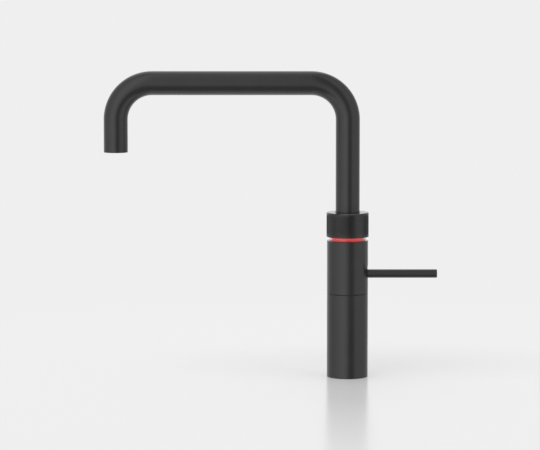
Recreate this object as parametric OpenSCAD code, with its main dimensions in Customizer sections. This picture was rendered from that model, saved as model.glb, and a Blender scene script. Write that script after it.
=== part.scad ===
// Boiling water tap: a black body with a joystick mixer lever, a push-and-turn
// boil ring with a lit gap under it, and a square-arch swivel spout.
// Millimetres, +Z up. The origin is the centre of the body on the worktop.
// The spout points along -X and the lever along +X.

/* [Body] */
// Outer diameter of the body sleeves
body_d = 39.4; // [39:0.1:46]
// Wall of the body sleeves
body_wall = 2.2; // [1.8:0.1:2.6]
// Height of the lower sleeve
lower_h = 80.4; // [60:0.1:120]
// Width of the seam between the sleeves
seam_gap = 0.3; // [0.2:0.1:1]
// Depth of the seam behind the sleeves' face
seam_depth = 0.25; // [0.2:0.05:0.8]
// Height of the upper sleeve
upper_h = 50.9; // [48:0.1:70]
// Thickness of the lower sleeve's floor
floor_t = 4; // [3:0.5:8]
// Chamfer on the sleeves' outer edges
edge_chamfer = 0.35; // [0.2:0.05:0.8]

/* [Spout] */
// Outer diameter of the spout tube
tube_d = 23; // [21.6:0.1:25]
// Wall of the spout tube
tube_wall = 1.4; // [1:0.1:1.8]
// Distance from the body's axis to the outlet's axis
reach = 221.3; // [160:0.1:260]
// Height of the horizontal tube's centreline above the worktop
spout_z = 281.9; // [240:0.1:330]
// Radius of both bends, on the centreline
bend_r = 34.7; // [26:0.1:45]
// Height of the outlet above the worktop
outlet_z = 216; // [180:0.1:225]
// Diameter of the boiling tube inside the spout
boil_tube_d = 6; // [5:0.5:7]
// Wall of the boiling tube
boil_tube_wall = 0.8; // [0.5:0.1:1]

/* [Boil ring] */
// How far the boil ring stands proud of the body
ring_proud = 0.7; // [0:0.1:1.5]
// Height of the boil ring
ring_h = 22.5; // [20.5:0.1:28]
// Lit gap between the body and the boil ring
ring_gap = 3.4; // [3.3:0.1:6]
// Travel of the boil ring when it is pushed down
ring_press = 3; // [2:0.1:3.2]
// Thickness of the boil ring's top
ring_top_t = 2.5; // [1.5:0.1:3]
// Gap between the spout tube and the boil ring's top
ring_hole_gap = 0.6; // [0.4:0.1:1]
// Number of splines between the boil ring and its hub
spline_count = 6; // [3:1:8]
// Width of a spline
spline_w = 3; // [2:0.1:4]

/* [Lever] */
// Diameter of the lever rod
lever_d = 8.2; // [7:0.1:9]
// Distance from the body's axis to the lever's tip
lever_tip = 85.7; // [60:0.1:110]
// Height of the lever above the upper sleeve's lower edge
lever_rise = 18.7; // [17.5:0.1:24]
// Distance from the body's axis to the lever's pivot
pivot_x = 4; // [3.5:0.1:4.5]
// Swing of the lever to each side, in degrees
lever_swing = 16; // [10:1:17]
// Lift of the lever, in degrees
lever_lift = 17; // [10:1:18]

/* [Mounting] */
// Inset of the threaded shank from the sleeves' face
shank_inset = 3.7; // [3.5:0.1:5]
// Wall of the threaded shank
shank_wall = 3; // [2:0.1:3.5]
// Length of the shank below the worktop's top
shank_drop = 65; // [55:1:90]
// Height of the shank's thread
thread_h = 0.9; // [0.6:0.1:1.2]
// Thickness of the worktop that the clamp set is drawn against
worktop_t = 30; // [12:1:40]
// Outer diameter of the clamp washers
washer_d = 48; // [42:1:56]
// Outer diameter of the clamp nut
nut_d = 44; // [40:1:50]
// Height of the clamp nut
nut_h = 8; // [6:0.5:10]
// Thread core diameter of each inlet
inlet_d = 9; // [8:0.5:9.5]

/* [Hidden] */
$fn = 72;

// Clearances
slip = 0.05;       // running fit, on the radius
loose = 0.3;       // open gap between parts that move past each other
over = 1;          // how far a cut runs past a face

// Body
body_r = body_d / 2;
bore_r = body_r - body_wall;
core_r = bore_r - 0.1;
seam_z = lower_h;
upper_z = seam_z + seam_gap;
body_top = upper_z + upper_h;
shank_r = body_r - shank_inset;
shank_bore_r = shank_r - shank_wall;
shank_hold = 10;                      // shank screwed into the core's skirt
shank_top = floor_t + shank_hold;
inlet_h = 11;
inlet_way_h = 10;                     // drilled up from each inlet
cross_rise = 7;                       // cross ways above the core's underside
core_floor = shank_top + 1 + inlet_h; // underside of the core's solid block
seal_h = 1.2;                         // base seal
seal_in_r = shank_r + 0.7;
seal_out_r = body_r - 1.6;

// Clamp set under the worktop
clamp_seal_t = 3;
clamp_washer_t = 2;
clamp_z = -worktop_t - clamp_seal_t - clamp_washer_t;
nut_notch = 4;
groove_pitch = 6;                     // four turns of the shank's thread

// Inlets
inlet_spacing = 3.2;                  // what the three sockets leave free across the shank
inlet_margin = 2;                     // between a socket and the core's skirt
inlet_out_r = (shank_r - inlet_spacing) / 2;
inlet_pitch = shank_r - inlet_margin - inlet_out_r;
inlet_roof = 2;
inlet_way_r = 2.5;

// Boil ring and its valve
light_drop = 6;
neck_sink = 6;                        // the neck's bore, below the board's shelf
neck_wall = 3;
neck_margin = 1;                      // between the pressed ring's roof and the neck
light_floor = body_top - light_drop;  // shelf of the core that carries the board
board_t = 1;
lamp_h = 1;
lamp_w = 1;
lamp_count = 12;
ring_z = body_top + ring_gap;
light_lap = 2;
light_top = ring_z + light_lap;       // top of the lens and the light guide
lens_r = bore_r - 0.1;
lens_wall = 1.6;
guide_r = lens_r - lens_wall - slip;
guide_wall = 1.1;
valve_r = guide_r - guide_wall - 0.5;
land_z = light_floor + 3;             // valve land
seat_t = 2.5;
boil_disc_t = 2.5;
seat_top = land_z + seat_t;
boil_disc_top = seat_top + boil_disc_t;
seat_w = 4.15;
neck_r = valve_r - seat_w;
journal_r = neck_r - neck_wall;
ring_top = ring_z + ring_h;
ring_r = body_r + ring_proud;
ring_in_r = lens_r + 0.6;
ring_roof = ring_top - ring_top_t;
hub_flange_z = light_top + 0.8;
hub_r = ring_in_r - 0.4;
hub_h = 8.8;
hub_top = hub_flange_z + hub_h;
plate_t = 1;
plate_top = hub_top + plate_t;
spline_depth = 1;
spline_z = light_top + ring_press + 0.5;
hub_screw_r = 1;
hub_head_r = 1.8;
hub_head_h = 1.4;
hub_screw_pitch = valve_r + 1.2;
hub_screws_from = 90 / spline_count;  // puts each screw between two splines
spring_turns = 3;
spring_sides = 8;
spring_steps = 20;
spring_wire = 1.2;
spring_r = (valve_r + hub_r) / 2 - 1.5;

// Neck, journal and spout
neck_top = ring_roof - ring_press - neck_margin;
washer_t = 0.8;
spout_foot = neck_top + washer_t;     // underside of the journal's flange
flange_t = 1.2;
tube_foot = spout_foot + flange_t;
tube_r = tube_d / 2;
tube_in_r = tube_r - tube_wall;
neck_floor = light_floor - neck_sink;
boil_socket = 4;
boil_socket_z = neck_floor - boil_socket;
journal_lift = 2;
journal_foot = neck_floor + journal_lift;
journal_wall = 2;
journal_bore_r = journal_r - journal_wall;
plug_h = 12;
boil_r = boil_tube_d / 2;
screw_r = 1.5;
screw_z = neck_top - 2;
seal_wire = 0.9;                      // section radius of the journal's seals
seal_lift = 4;
seal_low_z = journal_foot + seal_lift;
seal_high_z = land_z + seal_lift;
nozzle_r = 4.4;
outlet_inset = 0.8;
outlet_h = 11;
aerator_wall = 1.6;
screen_t = 1.6;

// Lever and cartridge, on an axis along X
lever_z = upper_z + lever_rise;
lever_r = lever_d / 2;
slot_gap = 0.4;
wall_reach = body_r - pivot_x;
slot_low = lever_z - lever_r - slot_gap;
slot_high = lever_z + wall_reach * tan(lever_lift) + lever_r / cos(lever_lift) + slot_gap;
slot_h = slot_high - slot_low;
slot_z = (slot_high + slot_low) / 2;
slot_half_w = lever_r + slot_gap;
slot_end_r = 1.04 * slot_half_w;
dome_r = bore_r - slot_gap - pivot_x;
dome_t = 1;
dome_in_r = dome_r - dome_t;
dome_angle = 56;
stem_r = 3.5;
spigot_r = 2.5;
spigot_l = 8;
ball_r = 5.5;
tail_l = 9.6;
tail_r = 1;
tail_ball_r = 1.9;
cart_r = 12;
cart_front_r = 10.4;
cart_front_x = pivot_x + 2.5;
cart_back = 5;                        // from the pivot back to the housing's step
cart_step_x = pivot_x - cart_back;
cart_web_x = cart_step_x - 1.2;
cart_bore_r = 8.8;
disc_bore_r = 10.6;
carrier_front_x = pivot_x - tail_l + 2.2;
carrier_x = pivot_x - tail_l - 2.2;
moving_t = 1.6;
moving_r = 5.4;
pocket_r = 2.6;                       // recess that joins two ports
fixed_t = 1.6;
moving_x = carrier_x - moving_t;
fixed_x = moving_x - fixed_t;
cart_wall = 1;
cart_x = fixed_x - cart_wall;
gimbal_r = 8.3;
gimbal_in_r = 6;
gimbal_t = 4;
pin_r = 1.25;
trunnion_r = 1.5;
carrier_w = 6.4;
carrier_h = 6;
frame_w = 9.8;
disc_down = tail_l * sin(lever_lift);
port_r = 1.6;
way_r = 1.4;
boil_port_r = 1.2;
boil_port_y = valve_r - 2.2;
grommet_r = 1.1;
grommet_y = 1.4 - shank_r;
inlet_angles = [120, 240, 0];
port_y = 4;
port_low_z = lever_z - 3.5;
port_rise = 5;
port_high_z = lever_z + port_rise;
riser_x = cart_x - 2;

BLACK = [0.045, 0.045, 0.05];
BRASS = [0.78, 0.6, 0.3];
STEEL = [0.72, 0.72, 0.74];
RUBBER = [0.08, 0.08, 0.08];
CERAMIC = [0.93, 0.92, 0.88];
PLASTIC = [0.16, 0.17, 0.19];

// A tube along Z from z0 to z1.
module ring_of(r_out, r_in, z0, z1) {
    translate([0, 0, z0])
        difference() {
            cylinder(r = r_out, h = z1 - z0);
            translate([0, 0, -over]) cylinder(r = r_in, h = z1 - z0 + 2 * over);
        }
}

// A straight rod along X at the lever's height.
module x_rod(r, x0, x1, y = 0, z = lever_z) {
    translate([x0, y, z]) rotate([0, 90, 0]) cylinder(r = r, h = x1 - x0);
}

// A tube along X at the lever's height.
module x_tube(r_out, r_in, x0, x1) {
    difference() {
        x_rod(r_out, x0, x1);
        x_rod(r_in, x0 - over, x1 + over);
    }
}

// A straight drilling from point a to point b.
module drilling(a, b, r) {
    v = b - a;
    translate(a)
        rotate([0, acos(v[2] / norm(v)), atan2(v[1], v[0])])
            cylinder(r = r, h = norm(v), $fn = 24);
}

// A sleeve with a chamfer at its outer edges.
module sleeve(z0, z1) {
    rotate_extrude()
        polygon([[bore_r, z0], [body_r - edge_chamfer, z0], [body_r, z0 + edge_chamfer],
            [body_r, z1 - edge_chamfer], [body_r - edge_chamfer, z1], [bore_r, z1]]);
}

// The spout's path: up from the foot, over the arch and down to the outlet.
module arch(r, foot, drop) {
    bend_z = spout_z - bend_r;
    translate([0, 0, foot]) cylinder(r = r, h = bend_z - foot);
    translate([-bend_r, 0, bend_z]) rotate([90, 0, 0])
        rotate_extrude(angle = 90) translate([bend_r, 0]) circle(r = r);
    translate([bend_r - reach, 0, spout_z]) rotate([0, 90, 0])
        cylinder(r = r, h = reach - 2 * bend_r);
    translate([bend_r - reach, 0, bend_z]) rotate([90, 0, 0]) rotate([0, 0, 90])
        rotate_extrude(angle = 90) translate([bend_r, 0]) circle(r = r);
    translate([-reach, 0, drop]) cylinder(r = r, h = bend_z - drop);
}

module lower_sleeve() {
    color(BLACK) difference() {
        union() {
            sleeve(0, lower_h);
            ring_of(bore_r + slip, shank_r + 0.1, 0, floor_t);
        }
        ring_of(seal_out_r, seal_in_r, -over, seal_h);
    }
}

module seam_ring() {
    color(RUBBER) ring_of(body_r - seam_depth, bore_r, seam_z, upper_z);
}

// The opening for the lever: an upright slot with round ends.
module lever_slot() {
    straight = slot_h / 2 - slot_end_r;
    translate([pivot_x, 0, slot_z]) rotate([90, 0, 90]) linear_extrude(body_r)
        intersection() {
            union() {
                for (side = [-1, 1]) translate([0, side * straight]) circle(r = slot_end_r);
                square([2 * slot_end_r, 2 * straight], center = true);
            }
            square([2 * slot_half_w, slot_h], center = true);
        }
}

// Turns on the core with the lever, so its slot only has to let the lever rise.
module upper_sleeve() {
    color(BLACK) difference() {
        sleeve(upper_z, body_top);
        lever_slot();
    }
}

// Water and cable ways, drilled as crossing straight holes.
module core_ways() {
    cross_z = core_floor + cross_rise;
    cross_y = port_y + 0.6;
    neck_cross_z = neck_floor + 3;
    boil_y = core_r - 2.7;
    for (angle = inlet_angles)
        translate([inlet_pitch * cos(angle), inlet_pitch * sin(angle), core_floor - over])
            cylinder(r = way_r + 1, h = inlet_way_h + over);
    for (side = [-1, 1]) {
        drilling([-inlet_pitch / 2, side * cross_y, cross_z],
            [riser_x, side * cross_y, cross_z], way_r - 0.2);
        drilling([riser_x, side * port_y, cross_z - 2],
            [riser_x, side * port_y, port_low_z + 1], way_r);
        drilling([riser_x, side * port_y, port_low_z],
            [cart_x + over, side * port_y, port_low_z], port_r);
    }
    drilling([riser_x, 0, port_high_z], [cart_x + over, 0, port_high_z], port_r);
    drilling([riser_x, 0, port_high_z - 1], [riser_x, 0, neck_cross_z + 2], way_r);
    drilling([riser_x, 0, neck_cross_z], [0, 0, neck_cross_z], way_r - 0.2);
    drilling([inlet_pitch, 0, cross_z], [0, boil_y, cross_z], way_r - 0.2);
    drilling([0, boil_y, cross_z - 2], [0, boil_y, neck_cross_z], way_r);
    drilling([0, boil_y, neck_cross_z - 1], [0, boil_port_y, neck_cross_z - 1], way_r - 0.4);
    drilling([0, boil_port_y, neck_cross_z - 2], [0, boil_port_y, land_z + over], boil_port_r);
    drilling([0, grommet_y, core_floor - over], [0, grommet_y, light_floor + over], grommet_r);
}

module core() {
    color(BRASS) difference() {
        union() {
            ring_of(core_r, shank_r, floor_t, core_floor);
            translate([0, 0, core_floor]) cylinder(r = core_r, h = light_floor - core_floor);
            translate([0, 0, light_floor]) cylinder(r = valve_r, h = land_z - light_floor);
            translate([0, 0, land_z]) cylinder(r = neck_r, h = neck_top - land_z);
        }
        translate([0, 0, neck_floor]) cylinder(r = journal_r, h = neck_top - neck_floor + over);
        translate([0, 0, boil_socket_z]) cylinder(r = boil_r + slip, h = neck_floor);
        x_rod(cart_r + slip, cart_x, body_r);
        x_rod(dome_r + 0.5, pivot_x - 1, body_r);
        x_rod(screw_r, 0, neck_r + over, 0, screw_z);
        core_ways();
    }
}

// The thread is drawn as a groove at every fourth turn.
module shank() {
    color(STEEL) rotate_extrude() difference() {
        translate([shank_bore_r, -shank_drop]) square([shank_wall, shank_drop + shank_top]);
        for (i = [1:floor(shank_drop / groove_pitch)])
            translate([shank_r, -i * groove_pitch]) circle(r = thread_h, $fn = 4);
    }
}

module base_seal() {
    color(RUBBER) ring_of(seal_out_r, seal_in_r, 0, seal_h);
}

module clamp_seal() {
    color(RUBBER) ring_of(washer_d / 2, shank_r + 0.3, -worktop_t - clamp_seal_t, -worktop_t);
}

module clamp_washer() {
    color(STEEL) ring_of(washer_d / 2, shank_r + 0.3, clamp_z, -worktop_t - clamp_seal_t);
}

module clamp_nut() {
    color(BRASS) difference() {
        ring_of(nut_d / 2, shank_r, clamp_z - nut_h, clamp_z);
        for (a = [0:60:359])
            rotate([0, 0, a])
                translate([(nut_d - nut_notch) / 2, -nut_notch / 2, clamp_z - nut_h - over])
                    cube([nut_notch, nut_notch, nut_h + 2 * over]);
    }
}

// A threaded socket for a hose, under the core.
module inlet(angle) {
    translate([inlet_pitch * cos(angle), inlet_pitch * sin(angle), core_floor - inlet_h])
        difference() {
            cylinder(r = inlet_out_r, h = inlet_h);
            translate([0, 0, -over]) cylinder(r = inlet_d / 2, h = inlet_h - inlet_roof + over);
            cylinder(r = inlet_way_r, h = inlet_h + over);
        }
}

module cold_inlet() { color(STEEL) inlet(inlet_angles[0]); }
module hot_inlet() { color(STEEL) inlet(inlet_angles[1]); }
module boiling_inlet() { color(BRASS) inlet(inlet_angles[2]); }

module cable_grommet() {
    color(RUBBER) translate([0, grommet_y, core_floor]) difference() {
        union() {
            cylinder(r = grommet_r, h = 4);
            translate([0, 0, -1]) cylinder(r = grommet_r + 0.25, h = 1);
        }
        translate([0, 0, -1 - over]) cylinder(r = grommet_r / 2, h = 5 + 2 * over);
    }
}

module light_board() {
    color([0.1, 0.35, 0.2]) union() {
        ring_of(core_r, valve_r + 0.1, light_floor, light_floor + board_t);
        for (i = [0:lamp_count - 1])
            rotate([0, 0, i * 360 / lamp_count])
                translate([guide_r - guide_wall / 2 - lamp_w / 2, -lamp_w / 2,
                    light_floor + board_t])
                    cube([lamp_w, lamp_w, lamp_h]);
    }
}

module light_guide() {
    color([0.9, 0.12, 0.1])
        ring_of(guide_r, guide_r - guide_wall, light_floor + board_t + lamp_h, light_top);
}

module lens_ring() {
    color([0.95, 0.9, 0.9, 0.4])
        ring_of(lens_r, lens_r - lens_wall, light_floor + board_t, light_top);
}

module boil_seat() {
    color(CERAMIC) difference() {
        ring_of(valve_r, neck_r, land_z, seat_top);
        translate([0, boil_port_y, land_z - over]) cylinder(r = boil_port_r, h = seat_t + 2 * over);
    }
}

module thrust_washer() {
    color(CERAMIC) ring_of(neck_r, journal_r + 0.5, neck_top, spout_foot);
}

// Its tip sits in the journal's groove and holds the spout down.
module spout_lock_screw() {
    color(STEEL) x_rod(screw_r, journal_r - 0.4, neck_r - 0.2, 0, screw_z);
}

module cartridge_housing() {
    color(PLASTIC) difference() {
        union() {
            x_rod(cart_r, cart_x, cart_step_x);
            x_rod(cart_front_r, cart_step_x - slip, cart_front_x);
        }
        x_rod(disc_bore_r, fixed_x, cart_web_x);
        x_rod(cart_bore_r, cart_web_x - over, cart_front_x + over);
        for (side = [-1, 1])
            x_rod(port_r, cart_x - over, fixed_x + over, side * port_y, port_low_z);
        x_rod(port_r, cart_x - over, fixed_x + over, 0, port_high_z);
        translate([pivot_x, 0, lever_z - cart_r]) cylinder(r = trunnion_r, h = 2 * cart_r);
    }
}

module cartridge_nut() {
    color(BRASS) x_tube(cart_r, cart_front_r, cart_step_x, pivot_x - 1.5);
}

// Flat rings round the three ports, pressed between the fixed disc and the back wall.
module port_seals() {
    color(RUBBER) for (p = [[-port_y, port_low_z], [port_y, port_low_z], [0, port_high_z]])
        difference() {
            x_rod(port_r + 1, fixed_x, fixed_x + 0.4, p[0], p[1]);
            x_rod(port_r, fixed_x - over, fixed_x + over, p[0], p[1]);
        }
}

module fixed_disc() {
    color(CERAMIC) difference() {
        x_rod(disc_bore_r, fixed_x, moving_x);
        for (p = [[-port_y, port_low_z], [port_y, port_low_z], [0, port_high_z]]) {
            x_rod(port_r, fixed_x - over, moving_x + over, p[0], p[1]);
            x_rod(port_r + 1, fixed_x - over, fixed_x + 0.4, p[0], p[1]);
        }
    }
}

module trunnion_pins() {
    color(STEEL) for (side = [0, 180])
        translate([pivot_x, 0, lever_z]) rotate([side, 0, 0])
            translate([0, 0, gimbal_in_r + 0.3])
                cylinder(r = trunnion_r, h = cart_front_r - gimbal_in_r - 0.4);
}

// Turns about the upright trunnions and carries the cross pin.
module gimbal_ring() {
    color(STEEL) difference() {
        x_tube(gimbal_r, gimbal_in_r, pivot_x - gimbal_t / 2, pivot_x + gimbal_t / 2);
        translate([pivot_x, 0, lever_z - cart_r])
            cylinder(r = trunnion_r + slip, h = 2 * cart_r);
        translate([pivot_x, cart_r, lever_z]) rotate([90, 0, 0])
            cylinder(r = pin_r + slip, h = 2 * cart_r);
    }
}

// A rod with a spigot for the stem and a root hollowed to sit on the dome.
module lever_rod() {
    tip_chamfer = 0.4;
    spigot_x = dome_in_r - spigot_l;
    tip = lever_tip - pivot_x;
    color(BLACK) translate([pivot_x, 0, lever_z]) rotate([0, 90, 0]) rotate_extrude() union() {
        difference() {
            polygon([[0, stem_r], [lever_r, stem_r], [lever_r, tip - tip_chamfer],
                [lever_r - tip_chamfer, tip], [0, tip]]);
            circle(r = dome_r);
        }
        translate([0, spigot_x]) square([spigot_r, tip - spigot_x - over]);
    }
}

// Closes the lever's opening at every position.
module lever_dome() {
    far = 2 * dome_r;
    color(BLACK) translate([pivot_x, 0, lever_z]) rotate([0, 90, 0])
        difference() {
            rotate_extrude() intersection() {
                difference() {
                    circle(r = dome_r);
                    circle(r = dome_in_r);
                }
                polygon([[0, 0], [far * sin(dome_angle), far * cos(dome_angle)], [0, far]]);
            }
            cylinder(r = spigot_r, h = far);
        }
}

module ball_stem() {
    stem_end = sqrt(dome_in_r * dome_in_r - stem_r * stem_r);
    spigot_x = dome_in_r - spigot_l;
    far = 2 * dome_r;
    color(STEEL) translate([pivot_x, 0, lever_z]) difference() {
        rotate([0, 90, 0]) rotate_extrude() difference() {
            intersection() {
                union() {
                    circle(r = ball_r);
                    square([stem_r, stem_end]);
                    translate([0, -tail_l]) square([tail_r, tail_l]);
                    translate([0, -tail_l]) circle(r = tail_ball_r);
                }
                translate([0, -far]) square([far, 2 * far]);
            }
            translate([0, spigot_x]) square([spigot_r, far]);
        }
        rotate([90, 0, 0]) translate([0, 0, -cart_r]) cylinder(r = pin_r, h = 2 * cart_r);
    }
}

module pivot_pin() {
    half = gimbal_r - 0.3;
    color(STEEL) translate([pivot_x, half, lever_z]) rotate([90, 0, 0])
        cylinder(r = pin_r, h = 2 * half);
}

// Slides sideways with the lever's swing and lets the carrier slide up and down.
module guide_frame() {
    bar = 1;
    window_low = lever_z - carrier_h / 2 - disc_down - loose;
    window_high = lever_z + carrier_h / 2 + loose;
    front = carrier_front_x;
    back = carrier_x + loose;
    color(PLASTIC) difference() {
        translate([back, -frame_w / 2, window_low - bar])
            cube([front - back, frame_w, window_high - window_low + 2 * bar]);
        translate([back - over, -carrier_w / 2 - slip, window_low])
            cube([front - back + 2 * over, carrier_w + 2 * slip, window_high - window_low]);
    }
}

module disc_carrier() {
    color(PLASTIC) difference() {
        translate([carrier_x, -carrier_w / 2, lever_z - carrier_h / 2])
            cube([carrier_front_x - carrier_x, carrier_w, carrier_h]);
        x_rod(tail_ball_r + loose, carrier_x - over, carrier_front_x + over);
    }
}

module moving_disc() {
    color(CERAMIC) difference() {
        x_rod(moving_r, moving_x, carrier_x);
        x_rod(pocket_r, moving_x - over, moving_x + moving_t / 2);
    }
}

// A pattern of the boil ring's splines; grow widens them on every side.
module splines(z0, z1, grow) {
    for (i = [0:spline_count - 1])
        rotate([0, 0, i * 360 / spline_count])
            translate([ring_in_r - spline_depth - grow, -spline_w / 2 - grow, z0])
                cube([spline_depth + grow + over, spline_w + 2 * grow, z1 - z0]);
}

module screw_pattern(count, pitch, phase) {
    for (i = [0:count - 1])
        rotate([0, 0, phase + i * 360 / count]) translate([pitch, 0, 0]) children();
}

module hub_screws() {
    color(STEEL) screw_pattern(3, hub_screw_pitch, hub_screws_from) {
        translate([0, 0, hub_flange_z + 0.3]) cylinder(r = hub_head_r, h = hub_head_h);
        translate([0, 0, hub_flange_z]) cylinder(r = hub_screw_r, h = plate_top - hub_flange_z);
    }
}

// Carries the ceramic disc and turns on the neck.
module ring_hub() {
    color(BRASS) difference() {
        union() {
            ring_of(valve_r - 0.4, neck_r + loose, boil_disc_top, hub_flange_z + 1);
            ring_of(hub_r, neck_r + slip, hub_flange_z, hub_top);
        }
        intersection() {
            splines(hub_flange_z - over, hub_top + over, loose);
            cylinder(r = ring_r, h = ring_top);
        }
        screw_pattern(3, hub_screw_pitch, hub_screws_from) {
            translate([0, 0, hub_flange_z - over])
                cylinder(r = hub_head_r, h = hub_head_h + over + 0.3);
            translate([0, 0, hub_flange_z]) cylinder(r = hub_screw_r, h = hub_top);
        }
    }
}

module boil_disc() {
    color(CERAMIC) difference() {
        ring_of(valve_r - 0.4, neck_r + loose, seat_top, boil_disc_top);
        rotate([0, 0, 60]) translate([0, boil_port_y, seat_top - over])
            cylinder(r = boil_port_r, h = boil_disc_t + 2 * over);
    }
}

// A bayonet plate over the splines, which keeps the boil ring down.
module retainer_plate() {
    half_step = 180 / spline_count;
    color(STEEL) difference() {
        ring_of(hub_r, neck_r + loose, hub_top, plate_top);
        rotate([0, 0, half_step]) splines(hub_top - over, plate_top + over, loose);
        screw_pattern(3, hub_screw_pitch, hub_screws_from)
            translate([0, 0, hub_top - over]) cylinder(r = hub_screw_r, h = plate_t + 2 * over);
    }
}

module boil_ring() {
    top_chamfer = 0.8;
    foot_chamfer = 0.6;
    hole_r = tube_r + ring_hole_gap;
    color(BLACK) union() {
        rotate_extrude()
            polygon([[ring_in_r, ring_z], [ring_r - foot_chamfer, ring_z],
                [ring_r, ring_z + foot_chamfer], [ring_r, ring_top - top_chamfer],
                [ring_r - top_chamfer, ring_top], [hole_r, ring_top], [hole_r, ring_roof],
                [ring_in_r, ring_roof]]);
        intersection() {
            splines(spline_z, hub_top, 0);
            cylinder(r = (ring_in_r + ring_r) / 2, h = ring_top);
        }
    }
}

// An open coil of round wire.
module ring_spring() {
    r = spring_wire / 2;
    low = plate_top + r;
    high = ring_roof - r;
    rings = spring_turns * spring_steps;
    points = [for (i = [0:rings]) let (t = i / rings, a = 360 * spring_turns * t)
        for (j = [0:spring_sides - 1]) let (b = 360 * j / spring_sides)
            [(spring_r + r * cos(b)) * cos(a), (spring_r + r * cos(b)) * sin(a),
                low + (high - low) * t + r * sin(b)]];
    walls = [for (i = [0:rings - 1]) for (j = [0:spring_sides - 1])
        let (k = (j + 1) % spring_sides, p = i * spring_sides, q = p + spring_sides)
            [p + j, q + j, q + k, p + k]];
    start = [for (j = [0:spring_sides - 1]) j];
    finish = [for (j = [spring_sides - 1:-1:0]) rings * spring_sides + j];
    color(STEEL) polyhedron(points, concat(walls, [start, finish]), convexity = 10);
}

module spout_tube() {
    color(BLACK) difference() {
        arch(tube_r, tube_foot, outlet_z);
        arch(tube_in_r, tube_foot - over, outlet_z - over);
    }
}

module spout_journal() {
    groove_r = journal_r - 1;
    color(BRASS) difference() {
        union() {
            translate([0, 0, journal_foot])
                cylinder(r = journal_r - slip, h = spout_foot - journal_foot);
            translate([0, 0, spout_foot]) cylinder(r = tube_r, h = flange_t);
            translate([0, 0, tube_foot]) cylinder(r = tube_in_r, h = plug_h);
        }
        translate([0, 0, journal_foot - over])
            cylinder(r = journal_bore_r, h = tube_foot + plug_h);
        ring_of(journal_r + over, groove_r, screw_z - screw_r - 0.2, screw_z + screw_r + 0.2);
        for (z = [seal_low_z, seal_high_z])
            ring_of(journal_r + over, journal_r - 2 * seal_wire, z - seal_wire, z + seal_wire);
    }
}

module journal_seals() {
    color(RUBBER) for (z = [seal_low_z, seal_high_z])
        translate([0, 0, z]) rotate_extrude()
            translate([journal_r - seal_wire, 0]) circle(r = seal_wire - slip, $fn = 24);
}

module boiling_tube() {
    color([0.85, 0.85, 0.82]) difference() {
        arch(boil_r, boil_socket_z + loose, outlet_z + outlet_inset);
        arch(boil_r - boil_tube_wall, boil_socket_z + loose - over, outlet_z - over);
    }
}

module aerator_housing() {
    color(PLASTIC) translate([-reach, 0, 0])
        ring_of(tube_in_r, tube_in_r - aerator_wall, outlet_z + outlet_inset, outlet_z + outlet_h);
}

// A disc with rings of holes round the boiling nozzle.
module outlet_screen() {
    screen_r = tube_in_r - aerator_wall;
    hole_r = 0.55;
    color(STEEL) translate([-reach, 0, outlet_z + outlet_inset + 0.6]) difference() {
        ring_of(screen_r, nozzle_r, 0, screen_t);
        for (row = [0:1]) let (pitch = nozzle_r + 1.1 + 1.7 * row, count = 16 + 6 * row)
            for (i = [0:count - 1])
                rotate([0, 0, i * 360 / count]) translate([pitch, 0, -over])
                    cylinder(r = hole_r, h = screen_t + 2 * over, $fn = 16);
    }
}

module boiling_nozzle() {
    color(STEEL) translate([-reach, 0, 0])
        ring_of(nozzle_r, boil_r, outlet_z + outlet_inset, outlet_z + outlet_h - 1);
}

lower_sleeve();
seam_ring();
upper_sleeve();
core();
shank();
base_seal();
clamp_seal();
clamp_washer();
clamp_nut();
cold_inlet();
hot_inlet();
boiling_inlet();
cable_grommet();
light_board();
light_guide();
lens_ring();
boil_seat();
thrust_washer();
spout_lock_screw();
cartridge_housing();
cartridge_nut();
port_seals();
fixed_disc();
trunnion_pins();
gimbal_ring();
lever_rod();
lever_dome();
ball_stem();
pivot_pin();
guide_frame();
disc_carrier();
moving_disc();
ring_hub();
boil_disc();
retainer_plate();
hub_screws();
boil_ring();
ring_spring();
spout_tube();
spout_journal();
journal_seals();
boiling_tube();
aerator_housing();
outlet_screen();
boiling_nozzle();
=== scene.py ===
"""Boiling water tap: finishes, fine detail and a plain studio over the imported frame."""
import math

import bmesh
import bpy
from bpy.props import FloatProperty, FloatVectorProperty, IntProperty, PointerProperty
from mathutils import Matrix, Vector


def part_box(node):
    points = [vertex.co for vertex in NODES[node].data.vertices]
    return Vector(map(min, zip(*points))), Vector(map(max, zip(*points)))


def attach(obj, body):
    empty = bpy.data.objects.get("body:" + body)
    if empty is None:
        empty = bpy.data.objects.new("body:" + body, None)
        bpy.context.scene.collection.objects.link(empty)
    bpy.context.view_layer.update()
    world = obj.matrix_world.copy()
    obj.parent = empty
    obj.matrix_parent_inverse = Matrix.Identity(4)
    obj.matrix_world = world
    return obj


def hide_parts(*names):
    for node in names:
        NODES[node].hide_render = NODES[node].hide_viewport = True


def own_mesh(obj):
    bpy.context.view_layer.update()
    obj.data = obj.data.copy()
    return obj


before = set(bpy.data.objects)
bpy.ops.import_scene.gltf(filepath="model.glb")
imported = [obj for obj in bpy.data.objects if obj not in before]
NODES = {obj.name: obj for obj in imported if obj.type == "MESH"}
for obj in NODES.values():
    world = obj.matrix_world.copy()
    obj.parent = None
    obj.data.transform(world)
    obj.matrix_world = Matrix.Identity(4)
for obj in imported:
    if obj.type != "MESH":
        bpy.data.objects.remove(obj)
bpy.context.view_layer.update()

bl_info = {
    "name": "Boiling Water Tap",
    "version": (1, 0, 0),
    "blender": (4, 5, 0),
    "location": "3D View > Sidebar > Tap",
    "description": "Dresses the packed boiling water tap and sets it in a plain studio",
    "category": "Object",
}

MM = 0.001

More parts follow.
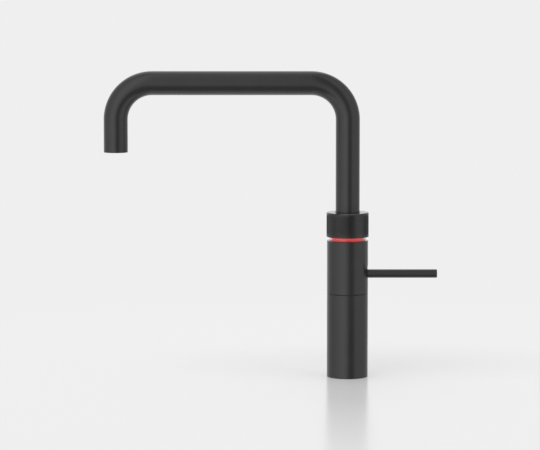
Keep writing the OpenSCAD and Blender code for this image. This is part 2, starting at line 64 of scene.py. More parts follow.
# Boil ring, beyond the sizes in the sidebar
RIDGE_LIFT = 0.12 * MM  # knurl's ridges, less than its depth inside the solid by this
COLLAR_SINK = 0.04 * MM  # plain bands inside the solid
FINE_EDGE = 0.3 * MM  # broken edges of turned pieces
FOOT_EDGE = 0.25 * MM
FOOT_ROUND = 0.6 * MM  # rounding at the foot, with a point on its way
FOOT_MIDDLE = (0.18 * MM, 0.17 * MM)
LIP_CHAMFER = 0.7 * MM
POLISHED_BAND = 0.6 * MM  # depth of the polished lip
SPLINE_SECTION = (1.8 * MM, 3 * MM)
SPLINE_SINK = 0.1 * MM
SPLINE_LIFT = 3.5 * MM  # above the light guide

# Edges meeting at more than this are shaded sharp
SHARP = math.radians(35)
KNURL_SHARP = math.radians(32)

# Threads
SHANK_THREAD = 0.6  # depth of the shank's thread, in pitches
SHANK_SINK = 0.05 * MM  # the thread's root inside the wall
SHANK_WALL = 3 * MM
SHANK_NECK = 1.5 * MM  # plain length under the body, then a taper
SHANK_TAPER = 1 * MM
SHANK_SIDES = 96
INLET_WALL = 1.9 * MM
INLET_THREAD = 0.45 * MM
INLET_SINK = 0.1 * MM
INLET_TURNS = 6
THREAD_START = 0.4 * MM
THREAD_END = 1.5 * MM
TOOTH_ROOT = 0.94  # height of a tooth at its root, in pitches
TOOTH_CREST = (0.38, 0.56)  # where its crest lies on that height
SHANK_STEPS, INLET_STEPS = 48, 36  # steps in each turn

# Spring
WIRE_SIDES = 14
SPRING_STEPS = 60

# Polished end of the upper sleeve
END_DEPTH = 0.1 * MM
END_ROUGHNESS = 0.25  # share of the coat's roughness that is left

# Light
LAMP_FACE = (1.02 * MM, 1.06 * MM)  # heights on the board between which a lamp begins
GLOW_LEVELS = (0.5, 1.04)  # at the foot of the gap and near its top
GLOW_RISE = 2.6 * MM

# Floor and studio
FLOOR_FADE = (0.165, 1, 0.14, 0.66)  # backdrop's share near and far, and the distances
# Painted shadow on the floor next to the foot: where it lies, and how the floor's colour is mixed
# towards black
PAINTED_SHADOW_SCALE = (4.2, 7.5, 1)
PAINTED_SHADOW_SHIFT = (-0.17, -0.66, 0)
PAINTED_SHADOW_FADE = (0.055, 0, 0.1, 1)  # darkness inside and outside, and the distances
# brightness round the tap, by share of a turn
STUDIO_ROUND = [
    (0.0, 0.74), (0.07, 1.00), (0.14, 1.24), (0.19, 1.38), (0.215, 1.24), (0.24, 0.98),
    (0.262, 0.68), (0.28, 0.36), (0.332, 0.34), (0.358, 0.74), (0.385, 0.88), (0.43, 0.88),
    (0.48, 0.79), (0.55, 0.60), (0.62, 0.52), (0.68, 0.68), (0.72, 1.0), (0.78, 1.0),
    (0.87, 0.76), (0.94, 0.66), (1.0, 0.74)]
# low in front, the tap mirrors something dark: its share by how far down a direction points
LOW_FRONT = [
    (0.15, 0.0), (0.30, 0.12), (0.48, 0.75), (0.60, 1.0), (0.88, 1.0), (0.97, 0.8), (1.0, 0.5)]
FRONT_HALF_WIDTH = (0.30, 0.55)  # where it ends, by the X of a direction
FRONT_REACH = (-0.35, 0)  # and by its Y
FRONT_LEVEL = 0.36

# Camera
CAMERA_PLACE = (-0.07421, -2.9, 0.4478)
CAMERA_TILT = 0.10365  # radians below the horizon
CAMERA_LENS, CAMERA_SENSOR = 203.2, 36
CAMERA_CLIP = (0.05, 50)

# A Mix node has several sockets of the same name, and these are its colours
MIX_FIRST, MIX_SECOND, MIX_RESULT = 6, 7, 2


# Sizes and colours

class TapDetailSizes(bpy.types.PropertyGroup):
    """Sizes of the fine detail that the solids leave out."""

    knurl_pitch: FloatProperty(
        name="Knurl pitch", description="Width of one diamond of the boil ring's knurl",
        default=2.25 * MM, min=0.6 * MM, max=5 * MM, unit="LENGTH")
    knurl_rise: FloatProperty(
        name="Knurl rise", description="Height of one diamond of the knurl",
        default=3.9 * MM, min=0.6 * MM, max=6 * MM, unit="LENGTH")
    knurl_depth: FloatProperty(
        name="Knurl depth", description="Depth of the knurl's sunk diamonds",
        default=0.4 * MM, min=0.05 * MM, max=0.5 * MM, unit="LENGTH")
    knurl_ridge: FloatProperty(
        name="Knurl ridge", description="Width of the ridges between the diamonds",
        default=0.66 * MM, min=0.1 * MM, max=0.9 * MM, unit="LENGTH")
    knurl_margin: FloatProperty(
        name="Knurl margin", description="Plain band above and below the knurl",
        default=1.1 * MM, min=0.9 * MM, max=3 * MM, unit="LENGTH")
    rim_rise: FloatProperty(
        name="Rim rise", description="Height of the boil ring's rim above its solid",
        default=1.0 * MM, min=0, max=1.5 * MM, unit="LENGTH")
    ring_clearance: FloatProperty(
        name="Ring clearance", description="Gap round the lens and round the spout tube",
        default=0.6 * MM, min=0.3 * MM, max=1 * MM, unit="LENGTH")
    ring_roof: FloatProperty(
        name="Ring top", description="Thickness of the boil ring's top",
        default=2.5 * MM, min=1 * MM, max=3 * MM, unit="LENGTH")
    spline_count: IntProperty(
        name="Splines", description="Number of splines inside the boil ring",
        default=6, min=3, max=12)
    shank_pitch: FloatProperty(
        name="Shank thread pitch", description="Pitch of the thread on the shank",
        default=1.5 * MM, min=1 * MM, max=3 * MM, unit="LENGTH")
    inlet_pitch: FloatProperty(
        name="Inlet thread pitch", description="Pitch of the threads inside the inlets",
        default=1.25 * MM, min=0.8 * MM, max=2 * MM, unit="LENGTH")
    spring_turns: IntProperty(
        name="Spring turns", description="Turns of the boil ring's spring", default=3, min=2, max=8)
    spring_wire: FloatProperty(
        name="Spring wire", description="Diameter of the spring's wire",
        default=1.2 * MM, min=0.5 * MM, max=1.4 * MM, unit="LENGTH")


class TapFinishColours(bpy.types.PropertyGroup):
    """Colours of the finishes."""

    coat: FloatVectorProperty(
        name="Satin black coat", description="Colour of the coat on the body, spout and lever",
        subtype="COLOR", size=3, min=0, max=1, default=(0.0125, 0.0125, 0.013))
    glow: FloatVectorProperty(
        name="Boiling light", description="Colour of the lit ring",
        subtype="COLOR", size=3, min=0, max=1, default=(0.72, 0.035, 0.035))
    glow_strength: FloatProperty(
        name="Boiling light strength", description="Strength of the lit ring",
        default=0.66, min=0, max=5)


class TapStudioSettings(bpy.types.PropertyGroup):
    """The plain studio."""

    backdrop: FloatProperty(
        name="Backdrop", description="Whiteness of the backdrop and the far floor",
        default=0.863, min=0, max=1)
    floor_size: FloatProperty(
        name="Floor size", description="Width of the floor",
        default=9.0, min=2, max=20, unit="LENGTH")


# Mesh helpers

def lathe(bm, profile, steps):
    """A closed solid of revolution about Z from a closed outline of (radius, height)."""
    points = [bm.verts.new((r, 0, z)) for r, z in profile]
    edges = [bm.edges.new((a, b)) for a, b in zip(points, points[1:] + points[:1])]
    bmesh.ops.spin(
        bm, geom=points + edges, cent=(0, 0, 0), axis=(0, 0, 1), angle=math.tau,
        steps=steps, use_merge=True)


def coil(bm, section, turns, rise, steps_per_turn):
    """A closed outline of (radius, height) wound round Z, with flat ends."""
    points = [bm.verts.new((r, 0, z)) for r, z in section]
    edges = [bm.edges.new((a, b)) for a, b in zip(points, points[1:] + points[:1])]
    steps = int(turns * steps_per_turn)
    bmesh.ops.spin(
        bm, geom=points + edges, cent=(0, 0, 0), axis=(0, 0, 1), angle=math.tau * turns,
        dvec=(0, 0, rise / steps_per_turn), steps=steps, use_merge=False)
    bmesh.ops.holes_fill(bm, edges=[e for e in bm.edges if e.is_boundary], sides=len(section))


def tooth(root, crest, z, pitch):
    """Outline of one thread tooth; crest may lie outside or inside the root."""
    return [
        (root, z), (root, z + TOOTH_ROOT * pitch), (crest, z + TOOTH_CREST[1] * pitch),
        (crest, z + TOOTH_CREST[0] * pitch)]


def finished_piece(name, bm, body, material, stands_for=(), sharp=SHARP):
    """Turns the bmesh into a shaded object that rides on its body."""
    bmesh.ops.recalc_face_normals(bm, faces=bm.faces)
    for face in bm.faces:
        face.smooth = True
    for edge in bm.edges:
        edge.smooth = len(edge.link_faces) != 2 or edge.calc_face_angle(0) < sharp
    mesh = bpy.data.meshes.new(name)
    bm.to_mesh(mesh)
    bm.free()
    piece = bpy.data.objects.new(name, mesh)
    bpy.context.scene.collection.objects.link(piece)
    mesh.materials.append(material)
    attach(piece, body)
    if stands_for:
        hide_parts(*stands_for)
    return piece


# Material helpers

class Wiring:
    """Short ways to the nodes of a material or of the world."""

    def __init__(self, tree):
        self.nodes = tree.nodes
        self.links = tree.links

    def add(self, kind, **settings):
        node = self.nodes.new(kind)
        for key, value in settings.items():
            setattr(node, key, value)
        return node

    def split(self, vector):
        node = self.add("ShaderNodeSeparateXYZ")
        self.links.new(vector, node.inputs["Vector"])
        return node.outputs

    def length(self, vector):
        node = self.add("ShaderNodeVectorMath", operation="LENGTH")
        self.links.new(vector, node.inputs[0])
        return node.outputs["Value"]

    def maths(self, operation, first, second=None):
        node = self.add("ShaderNodeMath", operation=operation)
        self.links.new(first, node.inputs[0])
        if second:
            self.links.new(second, node.inputs[1])
        return node.outputs["Value"]

    def level(self, source, low, high, start=0.3, end=0.7):
        node = self.add("ShaderNodeMapRange")
        node.inputs["From Min"].default_value = start
        node.inputs["From Max"].default_value = end
        node.inputs["To Min"].default_value = low
        node.inputs["To Max"].default_value = high
        self.links.new(source, node.inputs["Value"])
        return node.outputs["Result"]

    def ramp(self, source, stops):
        """A colour ramp through (position, colour)."""
        node = self.add("ShaderNodeValToRGB")
        elements = node.color_ramp.elements
        while len(elements) < len(stops):
            elements.new(0.5)
        for element, (place, colour) in zip(elements, stops):
            element.position = place
            element.color = (*colour, 1)
        self.links.new(source, node.inputs["Fac"])
        return node.outputs["Color"]

    def tinted(self, share, source, colour):
        """The source's colour, turned to another by a share."""
        node = self.add("ShaderNodeMix", data_type="RGBA")
        self.links.new(share, node.inputs["Factor"])
        self.links.new(source, node.inputs[MIX_FIRST])
        node.inputs[MIX_SECOND].default_value = (*colour, 1)
        return node.outputs[MIX_RESULT]

    def mixed(self, share, first, second):
        """One shader turned to another by a share."""
        node = self.add("ShaderNodeMixShader")
        self.links.new(share, node.inputs["Fac"])
        self.links.new(first, node.inputs[1])
        self.links.new(second, node.inputs[2])
        return node.outputs["Shader"]

    def lamp(self, level, kind="ShaderNodeEmission"):
        """A plain grey light."""
        node = self.add(kind)
        node.inputs["Color"].default_value = (*grey(level), 1)
        return node.outputs[0]


class Finish(Wiring):
    """A Principled material and the nodes that give it its grain."""

    def __init__(self, name, **sockets):
        self.material = bpy.data.materials.new(name)
        self.material.use_nodes = True
        super().__init__(self.material.node_tree)
        self.shader = self.nodes["Principled BSDF"]
        for key, value in sockets.items():
            self.shader.inputs[key.replace("_", " ")].default_value = value
        self.place = self.add("ShaderNodeTexCoord").outputs["Object"]

    def stretched(self, scale, shift=(0, 0, 0)):
        mapping = self.add("ShaderNodeMapping")
        mapping.inputs["Scale"].default_value = scale
        mapping.inputs["Location"].default_value = shift
        self.links.new(self.place, mapping.inputs["Vector"])
        return mapping.outputs["Vector"]

    def noise(self, scale, detail, vector=None):
        node = self.add("ShaderNodeTexNoise")
        node.inputs["Scale"].default_value = scale
        node.inputs["Detail"].default_value = detail
        self.links.new(vector or self.place, node.inputs["Vector"])
        return node.outputs["Fac"]

    def rings(self, scale):
        """Fine turning marks round the vertical axis."""
        node = self.add("ShaderNodeTexWave", bands_direction="Z")
        node.inputs["Scale"].default_value = scale
        node.inputs["Distortion"].default_value = 0.4
        node.inputs["Detail"].default_value = 2.0
        self.links.new(self.place, node.inputs["Vector"])
        return node.outputs["Fac"]

    def speckle(self, scale):
        node = self.add("ShaderNodeTexVoronoi")
        node.inputs["Scale"].default_value = scale
        self.links.new(self.place, node.inputs["Vector"])
        return node.outputs["Distance"]

    def roughness(self, source, low, high):
        self.links.new(self.level(source, low, high), self.shader.inputs["Roughness"])

    def colour(self, source, dark, light, start=0.35, end=0.65):
        colours = self.ramp(source, [(start, dark), (end, light)])
        self.links.new(colours, self.shader.inputs["Base Color"])

    def polish_above(self, height):
        """Takes most of the roughness off a turned end face at this height."""
        share = self.level(
            self.split(self.place)["Z"], 1, END_ROUGHNESS, height - END_DEPTH, height)
        rough = self.shader.inputs["Roughness"]
        self.links.new(self.maths("MULTIPLY", rough.links[0].from_socket, share), rough)

    def bump(self, source, strength, distance):
        node = self.add("ShaderNodeBump")
        node.inputs["Strength"].default_value = strength
        node.inputs["Distance"].default_value = distance
        self.links.new(source, node.inputs["Height"])
        self.links.new(node.outputs["Normal"], self.shader.inputs["Normal"])


def grey(level):
    return (level, level, level)


def shade(share, colour):
    return tuple(min(1.0, share * c) for c in colour)


def satin_black_coat(name="Satin black coat", rough=(0.20, 0.25), ior=1.55, rim=None):
    """Sprayed coat: very fine orange peel and a little cloudiness in the gloss."""
    colour = bpy.context.scene.tap_finish.coat
    finish = Finish(name, IOR=ior)
    finish.colour(finish.noise(90, 4), shade(0.88, colour), shade(1.12, colour))
    finish.roughness(finish.noise(60, 5), *rough)
    if rim:
        finish.polish_above(rim)
    finish.bump(finish.noise(2600, 2), 0.12, 0.02 * MM)
    return finish.material


def rimmed_coat():
    """The coat on the upper sleeve, polished on its turned end."""
    return satin_black_coat(
        "Satin black coat with a polished rim", rim=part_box("upper_sleeve")[1].z)


def turned_brass():
    finish = Finish("Turned brass", Metallic=1.0)
    finish.colour(finish.noise(140, 5), (0.60, 0.40, 0.16), (0.76, 0.55, 0.26))
    finish.roughness(finish.noise(500, 3, finish.stretched((1, 1, 9))), 0.24, 0.40)
    finish.bump(finish.rings(700), 0.25, 0.03 * MM)
    return finish.material


def brushed_steel():
    finish = Finish("Brushed stainless steel", Metallic=1.0)
    finish.colour(finish.noise(120, 4), (0.50, 0.50, 0.51), (0.64, 0.64, 0.65))
    grain = finish.noise(900, 3, finish.stretched((1, 1, 14)))
    finish.roughness(grain, 0.22, 0.38)
    finish.bump(grain, 0.12, 0.03 * MM)
    return finish.material


def black_rubber():
    finish = Finish("Black rubber", Specular_IOR_Level=0.5)
    finish.colour(finish.noise(300, 4), (0.012, 0.012, 0.012), (0.022, 0.022, 0.022))
    finish.roughness(finish.noise(800, 3), 0.4, 0.52)
    finish.bump(finish.noise(3000, 2), 0.3, 0.03 * MM)
    return finish.material


def ceramic():
    finish = Finish("Lapped ceramic", Coat_Weight=0.3, Coat_Roughness=0.1)
    finish.colour(finish.noise(400, 5), (0.78, 0.76, 0.70), (0.88, 0.86, 0.80))
    finish.roughness(finish.noise(1200, 3), 0.16, 0.28)
    finish.bump(finish.speckle(2500), 0.06, 0.01 * MM)
    return finish.material


def filled_plastic():
    """Glass-filled black nylon, with its fibres just showing."""
    finish = Finish("Glass filled plastic")
    finish.colour(finish.noise(1800, 4, finish.stretched((1, 3, 1))),
                  (0.018, 0.019, 0.021), (0.05, 0.052, 0.056), 0.42, 0.72)
    finish.roughness(finish.noise(700, 3), 0.42, 0.6)
    finish.bump(finish.speckle(2000), 0.15, 0.02 * MM)
    return finish.material


def lamp_board():
    """Green solder mask with paler lamps standing on it."""
    low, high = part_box("light_board")
    finish = Finish("Light board", Coat_Weight=0.4, Coat_Roughness=0.15)
    mask = finish.ramp(finish.noise(700, 1), [
        (0.48, (0.008, 0.07, 0.03)), (0.52, (0.02, 0.16, 0.07))])
    lamp = finish.level(
        finish.split(finish.place)["Z"], 0, 1, low.z + LAMP_FACE[0], low.z + LAMP_FACE[1])
    colours = finish.tinted(lamp, mask, (0.85, 0.62, 0.5))
    finish.links.new(colours, finish.shader.inputs["Base Color"])
    finish.roughness(finish.noise(500, 3), 0.3, 0.45)
    return finish.material


def lit_guide():
    """Moulded red guide, lit from below."""
    settings = bpy.context.scene.tap_finish
    glow = tuple(settings.glow)
    finish = Finish("Lit red guide", Emission_Color=(*glow, 1))
    finish.colour(finish.noise(200, 3), shade(0.8, glow), glow)
    finish.roughness(finish.noise(400, 2), 0.3, 0.42)
    # brightest near the top of the gap
    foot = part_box("upper_sleeve")[1].z
    low, high = (share * settings.glow_strength for share in GLOW_LEVELS)
    rise = finish.level(finish.split(finish.place)["Z"], low, high, foot, foot + GLOW_RISE)
    finish.links.new(rise, finish.shader.inputs["Emission Strength"])
    return finish.material


def clear_lens():
    finish = Finish("Clear lens", Transmission_Weight=0.97, IOR=1.34)
    finish.colour(finish.noise(150, 2), (0.96, 0.84, 0.84), (1.0, 0.90, 0.90))
    finish.roughness(finish.noise(300, 3), 0.10, 0.18)
    return finish.material


def pale_hose():
    finish = Finish("Pale heat resistant tube", Subsurface_Weight=0.2, Subsurface_Scale=0.002)
    finish.colour(finish.noise(160, 4), (0.70, 0.69, 0.63), (0.82, 0.81, 0.76))
    finish.roughness(finish.noise(500, 3), 0.38, 0.52)
    finish.bump(finish.noise(900, 2, finish.stretched((3, 3, 1))), 0.1, 0.02 * MM)
    return finish.material


MAKERS = {
    "black_satin": satin_black_coat,
    "rimmed_black_satin": rimmed_coat,
    "brass": turned_brass,
    "stainless": brushed_steel,
    "black_rubber": black_rubber,
    "ceramic": ceramic,
    "dark_plastic": filled_plastic,
    "circuit_board": lamp_board,
    "red_light_guide": lit_guide,
    "clear_lens": clear_lens,
    "pale_tube": pale_hose,
}
made_finishes = {}


def finish_for(slot):
    if slot not in made_finishes:
        made_finishes[slot] = MAKERS[slot]()
    return made_finishes[slot]


def dress(slot, names):
    """Gives CAD nodes a finish."""
    for name in names:
        materials = NODES[name].data.materials
        for index in range(len(materials)):
            materials[index] = finish_for(slot)


# Pieces

class TAP_OT_coated_parts(bpy.types.Operator):
    """Satin black coat on the body, spout and lever"""
    bl_idname = "tap.coated_parts"
    bl_label = "Coated parts"

    def execute(self, context):
        dress("black_satin", ["lower_sleeve", "spout_tube", "lever_rod", "lever_dome"])
        dress("rimmed_black_satin", ["upper_sleeve"])
        return {"FINISHED"}


class TAP_OT_metal_parts(bpy.types.Operator):
    """Turned brass and brushed steel inside and under the body"""
    bl_idname = "tap.metal_parts"
    bl_label = "Metal parts"

    def execute(self, context):
        dress("brass", [
            "core", "clamp_nut", "boiling_inlet", "cartridge_nut", "ring_hub", "spout_journal"])
        dress("stainless", [
            "clamp_washer", "cold_inlet", "hot_inlet", "spout_lock_screw", "trunnion_pins",
            "gimbal_ring", "ball_stem", "pivot_pin", "retainer_plate", "hub_screws",
            "outlet_screen", "boiling_nozzle"])
        return {"FINISHED"}


class TAP_OT_seals_and_discs(bpy.types.Operator):
    """Rubber seals, ceramic discs, plastic carriers and the boiling tube"""
    bl_idname = "tap.seals_and_discs"
    bl_label = "Seals and discs"

    def execute(self, context):
        dress("black_rubber", [
            "seam_ring", "base_seal", "clamp_seal", "cable_grommet", "port_seals", "journal_seals"])
        dress("ceramic", ["boil_seat", "thrust_washer", "fixed_disc", "moving_disc", "boil_disc"])
        dress("dark_plastic", [
            "cartridge_housing", "guide_frame", "disc_carrier", "aerator_housing"])
        dress("pale_tube", ["boiling_tube"])
        return {"FINISHED"}


class TAP_OT_boiling_light(bpy.types.Operator):
    """Light board, red guide and clear lens under the boil ring"""
    bl_idname = "tap.boiling_light"
    bl_label = "Boiling light"

    def execute(self, context):
        dress("circuit_board", ["light_board"])
        dress("red_light_guide", ["light_guide"])
        dress("clear_lens", ["lens_ring"])
        return {"FINISHED"}


class TAP_OT_knurled_ring(bpy.types.Operator):
    """Boil ring with a fine diamond knurl and its inner splines"""
    bl_idname = "tap.knurled_ring"
    bl_label = "Knurled boil ring"

    def execute(self, context):
        sizes = context.scene.tap_sizes
        low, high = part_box("boil_ring")
        radius, foot, top = high.x, low.z, high.z + sizes.rim_rise
        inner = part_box("lens_ring")[1].x + sizes.ring_clearance
        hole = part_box("spout_journal")[1].x + sizes.ring_clearance
        roof = high.z - sizes.ring_roof
        band_low, band_high = foot + sizes.knurl_margin, top - sizes.knurl_margin
        rows = 2 * round((band_high - band_low) / sizes.knurl_rise)
        columns = 2 * round(math.tau * radius / sizes.knurl_pitch)
        step = (band_high - band_low) / rows
        ridge = radius - sizes.knurl_depth + RIDGE_LIFT
        collar = radius - COLLAR_SINK
        profile = [
            (inner, foot + FOOT_EDGE), (inner + FOOT_EDGE, foot), (collar - FOOT_ROUND, foot),
            (collar - FOOT_MIDDLE[0], foot + FOOT_MIDDLE[1]), (collar, foot + FOOT_ROUND),
            (collar, band_low), *[(ridge, band_low + i * step) for i in range(rows + 1)],
            (collar, band_high), (collar, top - LIP_CHAMFER), (collar - LIP_CHAMFER, top),
            (hole + FINE_EDGE, top), (hole, top - FINE_EDGE), (hole, roof), (inner, roof)]
        bm = bmesh.new()
        lathe(bm, profile, columns)
        grid = {}
        for vert in bm.verts:
            if abs(math.hypot(vert.co.x, vert.co.y) - ridge) < 1e-6:
                row = round((vert.co.z - band_low) / step)
                place = round(math.atan2(vert.co.y, vert.co.x) / math.tau * columns)
                grid[vert] = (row, row + place)
        self.sink_diamonds(bm, grid, rows, sizes)
        self.add_splines(bm, inner, sizes.spline_count)
        piece = finished_piece(
            "knurled_boil_ring", bm, "boil_ring", finish_for("black_satin"),
            ["boil_ring"], KNURL_SHARP)
        piece.data.materials.append(
            satin_black_coat("Polished black coat", (0.10, 0.14), 1.85))
        for face in piece.data.polygons:
            if face.center.z > top - POLISHED_BAND:
                face.material_index = 1
        return {"FINISHED"}

    @staticmethod
    def sink_diamonds(bm, grid, rows, sizes):
        """Turns the squares of the grid into diamonds sunk between crossing ridges."""
        for face in list(bm.faces):
            corners = [v for v in face.verts if v in grid and grid[v][1] % 2]
            if len(corners) == 2 and all(v in grid for v in face.verts):
                bmesh.utils.face_split(face, *corners)
        middles = [v for v, (row, place) in grid.items() if place % 2 == 0 and 0 < row < rows]
        corners = {v for v, (row, place) in grid.items() if place % 2}
        bmesh.ops.dissolve_verts(bm, verts=middles)
        # the lathe's faces still point inward here, so this depth goes into the ring
        bmesh.ops.inset_individual(
            bm, faces=[f for f in bm.faces if all(v in corners for v in f.verts)],
            thickness=sizes.knurl_ridge / 2, depth=sizes.knurl_depth, use_even_offset=True)

    @staticmethod
    def add_splines(bm, inner, count):
        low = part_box("light_guide")[1].z + SPLINE_LIFT
        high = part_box("ring_hub")[1].z
        for i in range(count):
            turn = Matrix.Rotation(i * math.tau / count, 3, "Z")
            bar = bmesh.ops.create_cube(bm, size=1.0)["verts"]
            bmesh.ops.scale(bm, verts=bar, vec=(*SPLINE_SECTION, high - low))
            bmesh.ops.translate(bm, verts=bar, vec=(inner - SPLINE_SINK, 0, (low + high) / 2))
            bmesh.ops.rotate(bm, verts=bar, cent=(0, 0, 0), matrix=turn)


class TAP_OT_threaded_shank(bpy.types.Operator):
    """Threaded shank that clamps the tap to the worktop"""
    bl_idname = "tap.threaded_shank"
    bl_label = "Threaded shank"

    def execute(self, context):
        pitch = context.scene.tap_sizes.shank_pitch
        low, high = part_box("shank")
        crest, root, bore = high.x, high.x - SHANK_THREAD * pitch, high.x - SHANK_WALL
        neck = -SHANK_NECK
        bm = bmesh.new()
        lathe(bm, [
            (bore, low.z + FINE_EDGE), (bore + FINE_EDGE, low.z), (root - FINE_EDGE, low.z),
            (root, low.z + FINE_EDGE), (root, neck - SHANK_TAPER), (crest, neck),
            (crest, high.z), (bore, high.z)], SHANK_SIDES)
        turns = int((neck - low.z - THREAD_END) / pitch)
        section = tooth(root - SHANK_SINK, crest, low.z + THREAD_START, pitch)
        coil(bm, section, turns, pitch, SHANK_STEPS)
        finished_piece(
            "threaded_shank", bm, "tap_body", finish_for("stainless"), ["shank"])
        return {"FINISHED"}


class TAP_OT_inlet_threads(bpy.types.Operator):
    """Threads inside the three inlets"""
    bl_idname = "tap.inlet_threads"
    bl_label = "Inlet threads"

    def execute(self, context):
        pitch = context.scene.tap_sizes.inlet_pitch
        slots = {"cold_inlet": "stainless", "hot_inlet": "stainless", "boiling_inlet": "brass"}
        for node, slot in slots.items():
            low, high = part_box(node)
            bore = (high.x - low.x) / 2 - INLET_WALL
            section = tooth(
                bore + INLET_SINK, bore - INLET_THREAD, low.z + THREAD_START, pitch)
            bm = bmesh.new()
            coil(bm, section, INLET_TURNS, pitch, INLET_STEPS)
            centre = (low + high) / 2
            bmesh.ops.translate(bm, verts=bm.verts, vec=(centre.x, centre.y, 0))
            finished_piece(node + "_thread", bm, "tap_body", finish_for(slot))
        return {"FINISHED"}


class TAP_OT_ring_spring(bpy.types.Operator):
    """Coil spring that lifts the boil ring"""
    bl_idname = "tap.ring_spring"
    bl_label = "Ring spring"

    def execute(self, context):
        sizes = context.scene.tap_sizes
        low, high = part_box("ring_spring")
        wire = sizes.spring_wire / 2
        middle = high.x - wire
        rise = (high.z - low.z - 2 * wire) / sizes.spring_turns
        angles = [k * math.tau / WIRE_SIDES for k in range(WIRE_SIDES)]
        section = [
            (middle + wire * math.cos(a), low.z + wire + wire * math.sin(a)) for a in angles]
        bm = bmesh.new()
        coil(bm, section, sizes.spring_turns, rise, SPRING_STEPS)
        piece = finished_piece(
            "ring_spring_wire", bm, "boil_ring", finish_for("stainless"),
            ["ring_spring"])
        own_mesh(piece)
        return {"FINISHED"}


# Studio

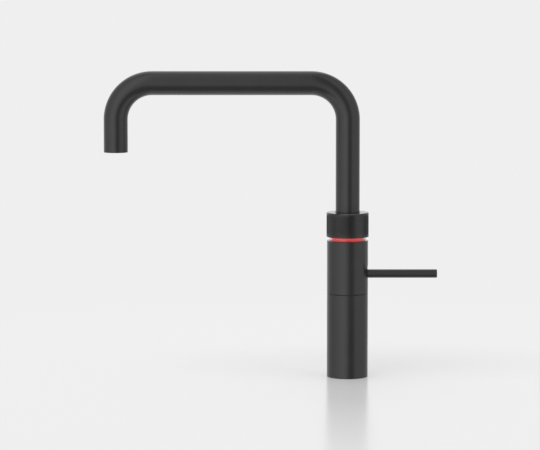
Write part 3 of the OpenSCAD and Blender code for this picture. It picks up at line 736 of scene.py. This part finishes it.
class TAP_OT_studio(bpy.types.Operator):
    """Pale floor, soft light and the camera"""
    bl_idname = "tap.studio"
    bl_label = "Studio"

    def execute(self, context):
        settings = context.scene.tap_studio
        self.floor(settings)
        self.light(context, settings)
        self.camera(context)
        context.scene.view_settings.view_transform = "Standard"
        return {"FINISHED"}

    @staticmethod
    def floor(settings):
        bm = bmesh.new()
        bmesh.ops.create_grid(bm, x_segments=4, y_segments=4, size=settings.floor_size / 2)
        mesh = bpy.data.meshes.new("Pale floor")
        bm.to_mesh(mesh)
        bm.free()
        floor = bpy.data.objects.new("pale_floor", mesh)
        bpy.context.scene.collection.objects.link(floor)
        finish = Finish("Pale floor", Base_Color=(0.99, 0.99, 0.99, 1), Roughness=0.2, IOR=1.45)
        # the far floor runs out into the backdrop
        far = finish.level(finish.length(finish.place), *FLOOR_FADE)
        seen = finish.mixed(far, finish.shader.outputs["BSDF"], finish.lamp(settings.backdrop))
        # painted soft shadow next to the foot: the floor's colour is mixed towards black there
        painted_shadow_distance = finish.length(finish.stretched(PAINTED_SHADOW_SCALE, PAINTED_SHADOW_SHIFT))
        seen = finish.mixed(finish.level(painted_shadow_distance, *PAINTED_SHADOW_FADE), seen, finish.lamp(0))
        # mirrored in the tap, it is open to the studio
        clear = finish.add("ShaderNodeBsdfTransparent").outputs["BSDF"]
        mirrored = finish.add("ShaderNodeLightPath").outputs["Is Glossy Ray"]
        finish.links.new(
            finish.mixed(mirrored, seen, clear), finish.nodes["Material Output"].inputs["Surface"])
        mesh.materials.append(finish.material)

    @staticmethod
    def light(context, settings):
        world = bpy.data.worlds.new("Soft studio")
        context.scene.world = world
        world.use_nodes = True
        air = Wiring(world.node_tree)
        direction = air.add("ShaderNodeTexCoord").outputs["Generated"]
        around = air.add("ShaderNodeTexGradient", gradient_type="RADIAL")
        air.links.new(direction, around.inputs["Vector"])
        bright = air.ramp(around.outputs["Fac"], [(turn, grey(v)) for turn, v in STUDIO_ROUND])
        sides = air.split(direction)
        down = air.maths("MULTIPLY", sides["Z"])
        down.node.inputs[1].default_value = -1
        depth = air.ramp(down, [(fall, grey(v)) for fall, v in LOW_FRONT])
        ahead = air.level(air.maths("ABSOLUTE", sides["X"]), 1, 0, *FRONT_HALF_WIDTH)
        facing = air.level(sides["Y"], 1, 0, *FRONT_REACH)
        dark = air.maths("MULTIPLY", depth, air.maths("MULTIPLY", ahead, facing))
        studio = air.nodes["Background"]
        air.links.new(air.tinted(dark, bright, grey(FRONT_LEVEL)), studio.inputs["Color"])
        # straight from the camera, only the plain backdrop shows
        plain = air.lamp(settings.backdrop, "ShaderNodeBackground")
        seen = air.add("ShaderNodeLightPath").outputs["Is Camera Ray"]
        air.links.new(
            air.mixed(seen, studio.outputs["Background"], plain),
            air.nodes["World Output"].inputs["Surface"])

    @staticmethod
    def camera(context):
        lens = bpy.data.cameras.new("Camera")
        lens.lens = CAMERA_LENS
        lens.sensor_width = CAMERA_SENSOR
        lens.clip_start, lens.clip_end = CAMERA_CLIP
        camera = bpy.data.objects.new("Camera", lens)
        camera.location = CAMERA_PLACE
        camera.rotation_euler = (math.pi / 2 - CAMERA_TILT, 0, 0)
        context.scene.collection.objects.link(camera)
        context.scene.camera = camera


# Sidebar

PIECE_OPERATORS = (
    TAP_OT_coated_parts, TAP_OT_metal_parts, TAP_OT_seals_and_discs, TAP_OT_boiling_light,
    TAP_OT_knurled_ring, TAP_OT_threaded_shank, TAP_OT_inlet_threads, TAP_OT_ring_spring,
    TAP_OT_studio)


class TAP_PT_sidebar(bpy.types.Panel):
    bl_idname = "TAP_PT_sidebar"
    bl_label = "Boiling Water Tap"
    bl_space_type = "VIEW_3D"
    bl_region_type = "UI"
    bl_category = "Tap"

    def draw(self, context):
        column = self.layout.column()
        for group in (context.scene.tap_sizes, context.scene.tap_finish, context.scene.tap_studio):
            for name in group.__annotations__:
                column.prop(group, name)
            column.separator()
        for operator in PIECE_OPERATORS:
            column.operator(operator.bl_idname)


CLASSES = (TapDetailSizes, TapFinishColours, TapStudioSettings, *PIECE_OPERATORS, TAP_PT_sidebar)


def register():
    for cls in CLASSES:
        bpy.utils.register_class(cls)
    bpy.types.Scene.tap_sizes = PointerProperty(type=TapDetailSizes)
    bpy.types.Scene.tap_finish = PointerProperty(type=TapFinishColours)
    bpy.types.Scene.tap_studio = PointerProperty(type=TapStudioSettings)


def unregister():
    del bpy.types.Scene.tap_studio
    del bpy.types.Scene.tap_finish
    del bpy.types.Scene.tap_sizes
    for cls in reversed(CLASSES):
        bpy.utils.unregister_class(cls)


def main():
    register()
    bpy.ops.tap.coated_parts()
    bpy.ops.tap.metal_parts()
    bpy.ops.tap.seals_and_discs()
    bpy.ops.tap.boiling_light()
    bpy.ops.tap.knurled_ring()
    bpy.ops.tap.threaded_shank()
    bpy.ops.tap.inlet_threads()
    bpy.ops.tap.ring_spring()
    bpy.ops.tap.studio()


if __name__ == "__main__":
    main()
